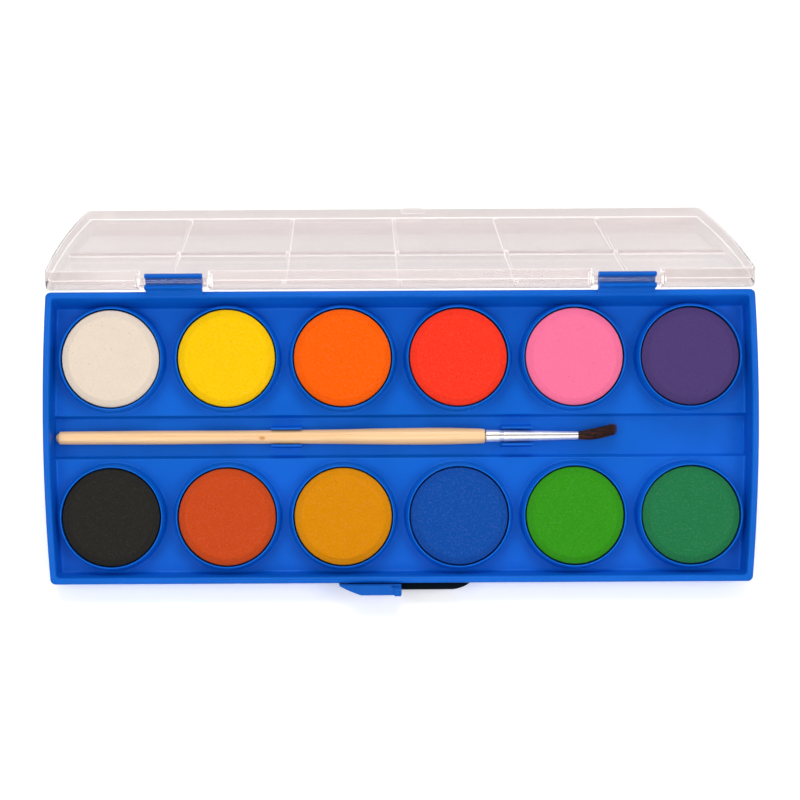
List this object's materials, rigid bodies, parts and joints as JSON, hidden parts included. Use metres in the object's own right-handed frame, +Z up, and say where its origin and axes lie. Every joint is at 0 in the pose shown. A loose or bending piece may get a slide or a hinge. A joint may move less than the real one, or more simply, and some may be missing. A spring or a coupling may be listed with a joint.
{
  "type": "watercolor pan set",
  "caption": "Hinged plastic paint box with round watercolour tablets in raised collars, a brush in a middle channel and a clear mixing lid folded back as a stand.",
  "frame": {"origin": "on the table under the middle of the set as it stands open", "axes": "+X along the tray from the brush's butt end to its hair, +Y from the front foot to the lid's foot, +Z up"},
  "size_m": [0.2208, 0.1566, 0.0641],
  "materials": {
    "blue_plastic": "moulded, satin gloss, fine mould grain",
    "latch_plastic": "moulded, satin gloss",
    "clear_plastic": "clear, glossy, faintly scuffed",
    "black_plastic": "moulded, semi-matt",
    "paint_white": "pressed dry paint, chalky and speckled",
    "paint_yellow": "pressed dry paint, chalky and speckled",
    "paint_orange": "pressed dry paint, chalky and speckled",
    "paint_red": "pressed dry paint, chalky and speckled",
    "paint_pink": "pressed dry paint, chalky and speckled",
    "paint_violet": "pressed dry paint, chalky and speckled",
    "paint_black": "pressed dry paint, chalky and speckled",
    "paint_brown": "pressed dry paint, chalky and speckled",
    "paint_ochre": "pressed dry paint, chalky and speckled",
    "paint_blue": "pressed dry paint, chalky and speckled",
    "paint_light_green": "pressed dry paint, chalky and speckled",
    "paint_dark_green": "pressed dry paint, chalky and speckled",
    "varnished_wood": "pale wood, thin clear varnish",
    "ferrule_metal": "drawn and crimped, bright",
    "hair": "dark brown hair"
  },
  "bodies": {
    "tray": {"tray": "blue_plastic", "tablet_white": "paint_white", "tablet_yellow": "paint_yellow", "tablet_orange": "paint_orange", "tablet_red": "paint_red", "tablet_pink": "paint_pink", "tablet_violet": "paint_violet", "tablet_black": "paint_black", "tablet_brown": "paint_brown", "tablet_ochre": "paint_ochre", "tablet_blue": "paint_blue", "tablet_light_green": "paint_light_green", "tablet_dark_green": "paint_dark_green", "latch_rail": "black_plastic"},
    "lid": {"lid": "clear_plastic"},
    "brush": {"brush_handle": "varnished_wood", "brush_ferrule": "ferrule_metal", "brush_tuft": "hair"},
    "slider": {"latch_slider": "latch_plastic"}
  },
  "joints": [
    {"name": "lid_hinge", "type": "hinge", "parent": "tray", "child": "lid", "pos_m": [0, 0.00385, 0.06156], "axis": [1, 0, 0], "range_deg": [0, 252]},
    {"name": "brush_lift", "type": "slide", "parent": "tray", "child": "brush", "axis": [0, -0.536, 0.8442], "range_m": [0, 0.0075]},
    {"name": "latch_slide", "type": "slide", "parent": "tray", "child": "slider", "axis": [1, 0, 0], "range_m": [0, 0.022]}
  ]
}
